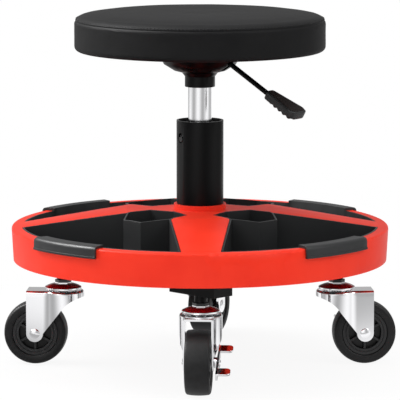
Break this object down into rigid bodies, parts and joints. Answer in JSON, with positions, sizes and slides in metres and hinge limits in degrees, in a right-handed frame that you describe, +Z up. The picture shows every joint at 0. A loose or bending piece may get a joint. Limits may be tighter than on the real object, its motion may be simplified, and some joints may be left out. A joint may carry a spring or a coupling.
{
  "type": "mechanic stool",
  "caption": "Height-adjustable round padded workshop stool on a gas lift, with a round moulded tray of drop-in bins and braked swivel casters.",
  "frame": {"origin": "on the floor, under the column's axis and at the centre of the footprint", "axes": "+Z up along the column, -Y to the front, where the front caster is"},
  "size_m": [0.4708, 0.4685, 0.424],
  "materials": {
    "red_moulding": "red moulded polypropylene, satin",
    "black_moulding": "black moulded polypropylene, fine grain",
    "black_enamel": "black powder coat",
    "chrome_plate": "bright chrome plate",
    "bright_steel": "zinc plated steel",
    "tyre_rubber": "black rubber",
    "black_vinyl": "black grained vinyl",
    "foam": "cut polyurethane foam",
    "plywood": "sanded plywood",
    "liner_cloth": "black non-woven cloth"
  },
  "bodies": {
    "base": {"tray_frame": "red_moulding", "leg_front": "black_enamel", "leg_right": "black_enamel", "leg_rear": "black_enamel", "leg_left": "black_enamel", "caster_pads": "black_moulding", "tray_screws": "bright_steel", "column_tube": "black_enamel", "column_bush": "black_moulding", "bush_stud": "chrome_plate", "column_base_plate": "black_enamel", "thrust_washer": "bright_steel", "thrust_balls": "bright_steel", "caster_stems": "chrome_plate", "stem_sleeves": "black_moulding", "stem_nuts": "bright_steel", "swivel_balls": "bright_steel"},
    "gas_rod": {"piston_rod": "bright_steel", "gas_piston": "bright_steel", "rod_clip": "bright_steel", "thrust_collar": "bright_steel"},
    "seat": {"gas_cylinder": "chrome_plate", "cylinder_guide": "black_moulding", "taper_socket": "black_enamel", "seat_housing": "black_enamel", "housing_bolts": "bright_steel", "tee_nuts": "bright_steel", "seat_board": "plywood", "seat_foam": "foam", "seat_top_panel": "black_vinyl", "seat_side_band": "black_vinyl", "seat_liner": "liner_cloth", "lever_pivot": "bright_steel"},
    "release": {"release_pin": "bright_steel"},
    "lever": {"lever_rod": "black_enamel", "lever_paddle": "black_moulding"},
    "bin_rear_right": {"bin_rear_right": "black_moulding"},
    "bin_rear_left": {"bin_rear_left": "black_moulding"},
    "bin_front_left": {"bin_front_left": "black_moulding"},
    "bin_front_right": {"bin_front_right": "black_moulding"},
    "caster_front": {"fork_front": "chrome_plate", "axle_front": "chrome_plate"},
    "wheel_front": {"wheel_core_front": "black_moulding", "tyre_front": "tyre_rubber"},
    "caster_right": {"fork_right": "chrome_plate", "axle_right": "chrome_plate"},
    "wheel_right": {"wheel_core_right": "black_moulding", "tyre_right": "tyre_rubber"},
    "caster_rear": {"fork_rear": "chrome_plate", "axle_rear": "chrome_plate"},
    "wheel_rear": {"wheel_core_rear": "black_moulding", "tyre_rear": "tyre_rubber"},
    "caster_left": {"fork_left": "chrome_plate", "axle_left": "chrome_plate"},
    "wheel_left": {"wheel_core_left": "black_moulding", "tyre_left": "tyre_rubber"},
    "brake_front": {"brake_rocker_front": "chrome_plate"},
    "brake_right": {"brake_rocker_right": "chrome_plate"}
  },
  "joints": [
    {"name": "seat_swivel", "type": "hinge", "parent": "base", "child": "gas_rod", "pos_m": [0, 0, 0.118], "axis": [0, 0, 1], "continuous": true},
    {"name": "seat_lift", "type": "slide", "parent": "gas_rod", "child": "seat", "axis": [0, 0, 1], "range_m": [-0.036, 0.08]},
    {"name": "lever_lift", "type": "hinge", "parent": "seat", "child": "lever", "pos_m": [0.0213, -0.01491, 0.3665], "axis": [-0.5736, -0.8192, 0], "range_deg": [0, 8], "stiffness_Nm_per_rad": 0.4, "springref_deg": -5.73},
    {"name": "release_press", "type": "slide", "parent": "seat", "child": "release", "axis": [0, 0, -1], "range_m": [0, 0.0045]},
    {"name": "bin_rear_right_lift", "type": "slide", "parent": "base", "child": "bin_rear_right", "axis": [0, 0, 1], "range_m": [0, 0.09]},
    {"name": "bin_rear_left_lift", "type": "slide", "parent": "base", "child": "bin_rear_left", "axis": [0, 0, 1], "range_m": [0, 0.09]},
    {"name": "bin_front_left_lift", "type": "slide", "parent": "base", "child": "bin_front_left", "axis": [0, 0, 1], "range_m": [0, 0.09]},
    {"name": "bin_front_right_lift", "type": "slide", "parent": "base", "child": "bin_front_right", "axis": [0, 0, 1], "range_m": [0, 0.09]},
    {"name": "swivel_front", "type": "hinge", "parent": "base", "child": "caster_front", "pos_m": [0, -0.164, 0.0885], "axis": [0, 0, 1], "continuous": true},
    {"name": "roll_front", "type": "hinge", "parent": "caster_front", "child": "wheel_front", "pos_m": [-0.00259, -0.1969, 0.038], "axis": [0.9969, -0.0785, 0], "continuous": true},
    {"name": "brake_front_rock", "type": "hinge", "parent": "caster_front", "child": "brake_front", "pos_m": [-0.00259, -0.1969, 0.038], "axis": [0.9969, -0.0785, 0], "range_deg": [-30, 0]},
    {"name": "swivel_right", "type": "hinge", "parent": "base", "child": "caster_right", "pos_m": [0.164, 0, 0.0885], "axis": [0, 0, 1], "continuous": true},
    {"name": "roll_right", "type": "hinge", "parent": "caster_right", "child": "wheel_right", "pos_m": [0.19692, 0.0023, 0.038], "axis": [-0.0698, 0.9976, 0], "continuous": true},
    {"name": "brake_right_rock", "type": "hinge", "parent": "caster_right", "child": "brake_right", "pos_m": [0.19692, 0.0023, 0.038], "axis": [-0.0698, 0.9976, 0], "range_deg": [-30, 0]},
    {"name": "swivel_rear", "type": "hinge", "parent": "base", "child": "caster_rear", "pos_m": [0, 0.164, 0.0885], "axis": [0, 0, 1], "continuous": true},
    {"name": "roll_rear", "type": "hinge", "parent": "caster_rear", "child": "wheel_rear", "pos_m": [0.01236, 0.1946, 0.038], "axis": [-0.9272, 0.3746, 0], "continuous": true},
    {"name": "swivel_left", "type": "hinge", "parent": "base", "child": "caster_left", "pos_m": [-0.164, 0, 0.0885], "axis": [0, 0, 1], "continuous": true},
    {"name": "roll_left", "type": "hinge", "parent": "caster_left", "child": "wheel_left", "pos_m": [-0.19692, 0.0023, 0.038], "axis": [-0.0698, -0.9976, 0], "continuous": true}
  ],
  "couplings": [
    {"joint": "release_press", "follows": "lever_lift", "m_per_rad": 0.03}
  ]
}
